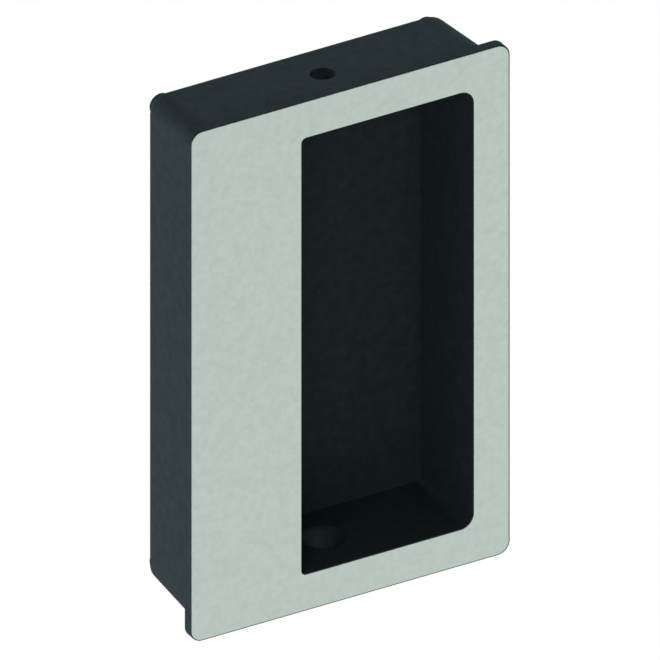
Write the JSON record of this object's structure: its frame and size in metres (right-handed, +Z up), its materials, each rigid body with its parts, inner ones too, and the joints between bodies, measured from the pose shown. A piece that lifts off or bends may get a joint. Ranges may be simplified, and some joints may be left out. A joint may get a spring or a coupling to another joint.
{
  "type": "pocket door pull",
  "caption": "Rectangular flush pull for a sliding door: dark recessed cup with flange and corner posts, satin metal face plate, mouth offset to one side behind a finger lip.",
  "frame": {"origin": "centre of the plane where the back of the front frame rests on the face of the door", "axes": "+X to the right seen from the front, +Y into the door, +Z up along the long side"},
  "size_m": [0.0752, 0.0238, 0.12],
  "materials": {
    "dark_moulding": "matt, almost black with a cool cast",
    "satin_steel": "satin, faintly clouded"
  },
  "bodies": {
    "root": {"cup": "dark_moulding", "front_frame": "dark_moulding", "face_plate": "satin_steel"}
  },
  "joints": []
}
